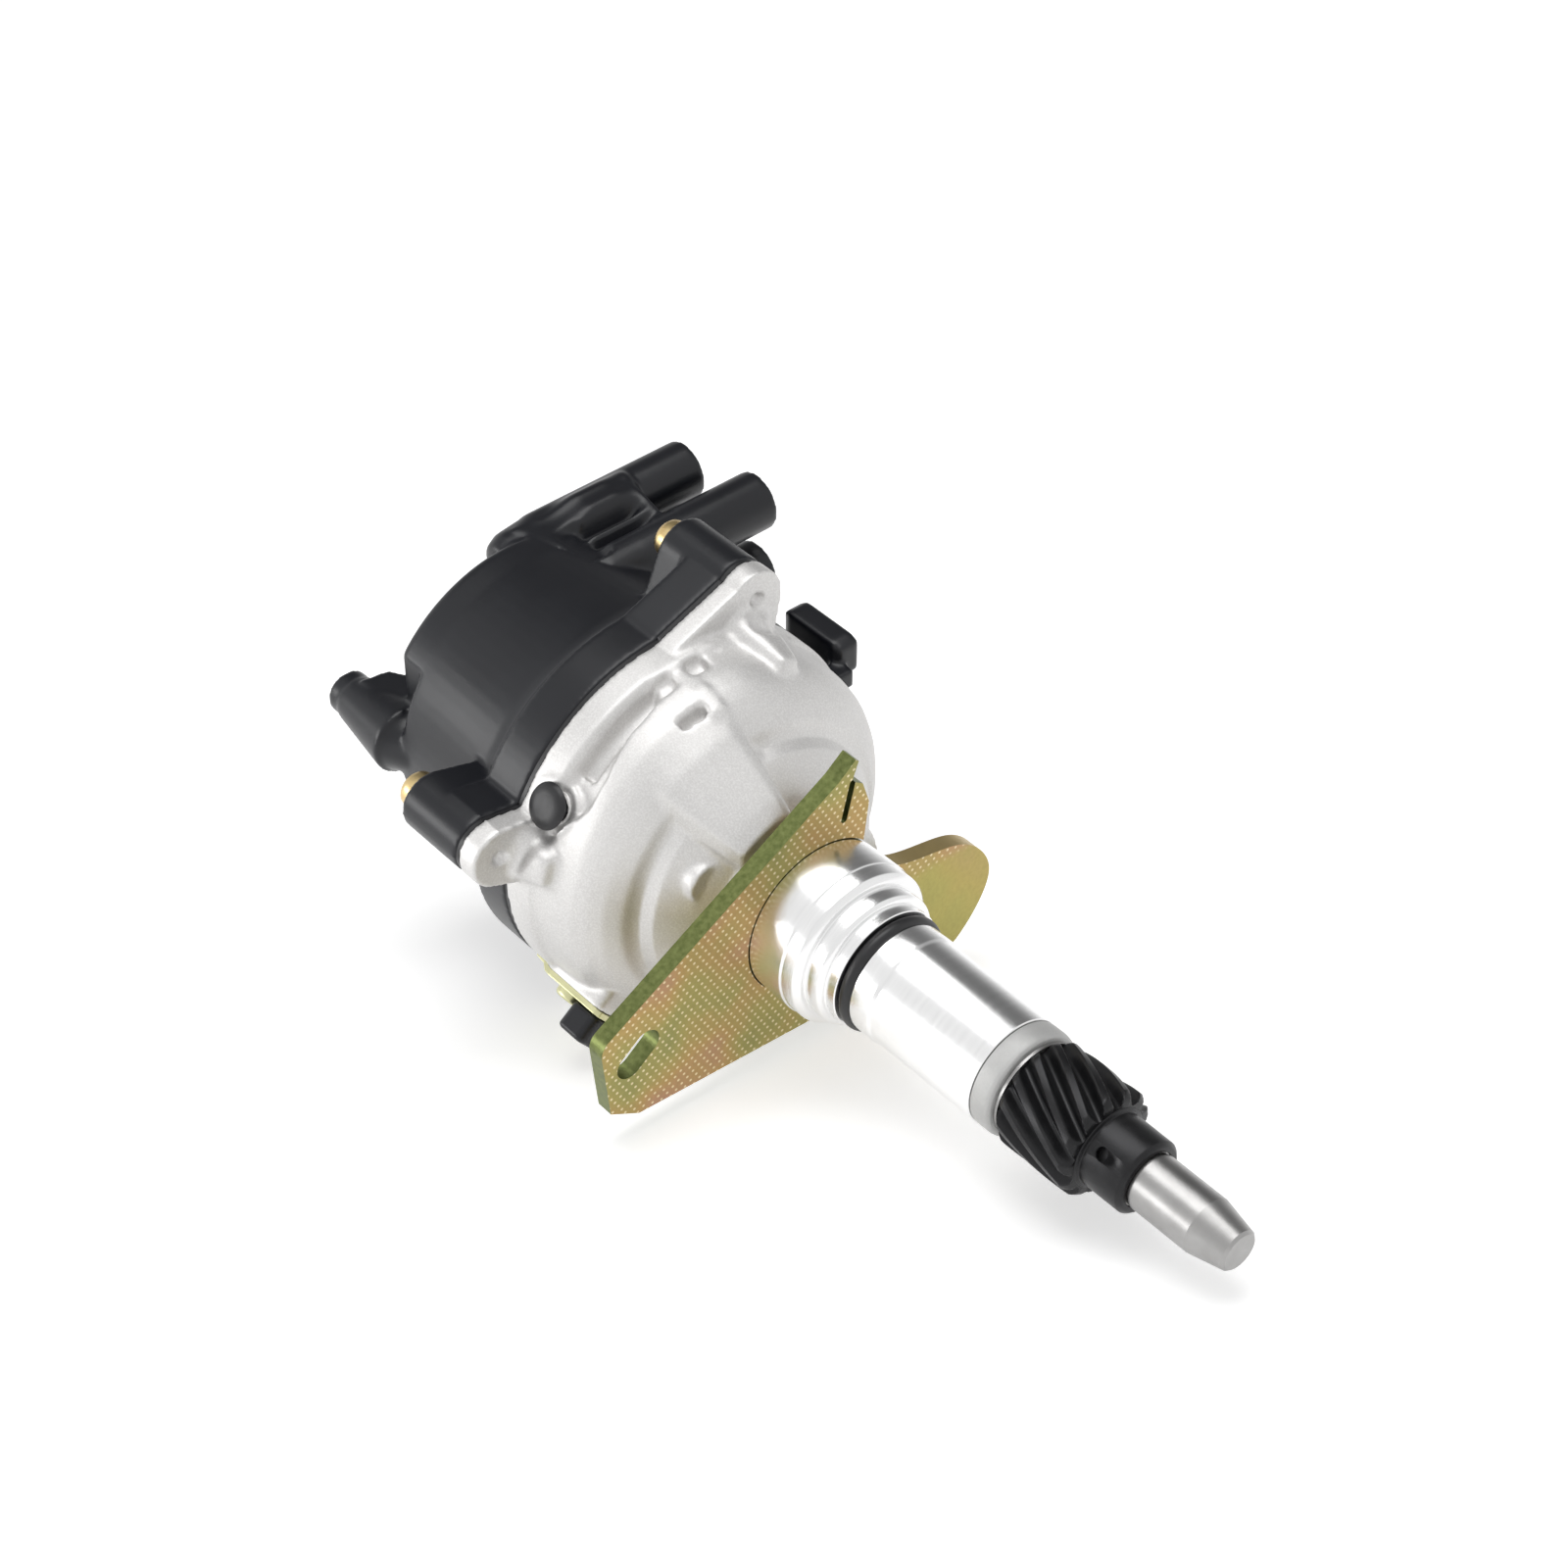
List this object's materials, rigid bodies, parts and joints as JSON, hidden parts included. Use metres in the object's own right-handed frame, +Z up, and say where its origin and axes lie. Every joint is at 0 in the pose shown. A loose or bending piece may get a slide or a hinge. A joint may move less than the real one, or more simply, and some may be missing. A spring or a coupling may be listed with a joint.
{
  "type": "ignition distributor",
  "caption": "Side-exit ignition distributor: black cap with plug towers, cast bowl and barrel with seal, slotted mounting plate, helical drive gear on a shaft with centrifugal advance.",
  "frame": {"origin": "on the shaft axis, in the plane of the mounting plate's engine-side face", "axes": "+X along the shaft towards the drive gear and tip, +Y the way the four plug towers point, +Z up as the part lies"},
  "size_m": [0.238, 0.1127, 0.0991],
  "materials": {
    "cast_aluminium": "fine as-cast, bead blasted",
    "zinc_chromate": "yellow chromate zinc plating",
    "seal_rubber": "satin",
    "gasket_rubber": "matte",
    "brass_contact": "machined",
    "cap_plastic": "satin black moulding",
    "gold_zinc": "gold zinc plating",
    "carbon": "sintered carbon",
    "turned_steel": "ground",
    "bush_bronze": "sintered bronze",
    "black_oxide_steel": "black oxide, oiled",
    "spring_steel": "drawn wire",
    "zinc_steel": "clear zinc plating",
    "coil_resin": "moulded bobbin",
    "module_plastic": "filled resin",
    "rotor_plastic": "filled moulding",
    "plug_rubber": "matte",
    "clip_plastic": "matte",
    "connector_plastic": "matte"
  },
  "bodies": {
    "housing": {"housing": "cast_aluminium", "mounting_plate": "zinc_chromate", "o_ring": "seal_rubber", "cap_gasket": "gasket_rubber", "cap_terminal_a": "brass_contact", "cap_terminal_b": "brass_contact", "cap_terminal_c": "brass_contact", "cap_terminal_d": "brass_contact", "coil_terminal": "brass_contact", "distributor_cap": "cap_plastic", "cap_screws": "gold_zinc", "brush_spring": "spring_steel", "bush_upper": "bush_bronze", "bush_lower": "bush_bronze", "oil_seal": "seal_rubber", "thrust_washer": "turned_steel", "pickup_plate": "zinc_steel", "pickup_screws": "turned_steel", "pole_piece": "turned_steel", "pickup_coil": "coil_resin", "coil_screws": "turned_steel", "ignition_module": "module_plastic", "module_screws": "turned_steel", "dust_shield": "clip_plastic", "vent_plug": "plug_rubber", "lead_bracket": "zinc_steel", "bracket_screw": "turned_steel", "lead_clip": "clip_plastic", "connector": "connector_plastic"},
    "shaft": {"drive_shaft": "turned_steel", "drive_gear": "black_oxide_steel", "gear_pin": "turned_steel", "governor_plate": "zinc_steel", "weight_clips": "spring_steel", "sleeve_screw": "turned_steel", "advance_spring_a": "spring_steel", "advance_spring_b": "spring_steel"},
    "advance": {"cam_sleeve": "turned_steel", "reluctor": "turned_steel", "rotor": "rotor_plastic", "rotor_contact": "brass_contact", "contact_rivets": "turned_steel"},
    "weight_a": {"weight_a": "turned_steel"},
    "weight_b": {"weight_b": "turned_steel"},
    "brush": {"carbon_brush": "carbon"}
  },
  "joints": [
    {"name": "shaft_spin", "type": "hinge", "parent": "housing", "child": "shaft", "pos_m": [0, 0, 0], "axis": [1, 0, 0], "continuous": true},
    {"name": "advance_turn", "type": "hinge", "parent": "shaft", "child": "advance", "pos_m": [0, 0, 0], "axis": [1, 0, 0], "range_deg": [-11, 0], "stiffness_Nm_per_rad": 0.8, "springref_deg": 2.86, "deforming": ["advance_spring_a", "advance_spring_b"]},
    {"name": "weight_a_swing", "type": "hinge", "parent": "shaft", "child": "weight_a", "pos_m": [0, 0, 0.017], "axis": [1, 0, 0], "range_deg": [-8.1, 0]},
    {"name": "weight_b_swing", "type": "hinge", "parent": "shaft", "child": "weight_b", "pos_m": [0, 0, -0.017], "axis": [1, 0, 0], "range_deg": [-8.1, 0]},
    {"name": "brush_slide", "type": "slide", "parent": "housing", "child": "brush", "axis": [-1, 0, 0], "range_m": [0, 0.0015], "stiffness_N_per_m": 100, "springref_m": -0.004, "deforming": ["brush_spring"]}
  ],
  "couplings": [
    {"joint": "weight_a_swing", "follows": "advance_turn", "ratio": 0.734},
    {"joint": "weight_b_swing", "follows": "advance_turn", "ratio": 0.734}
  ]
}
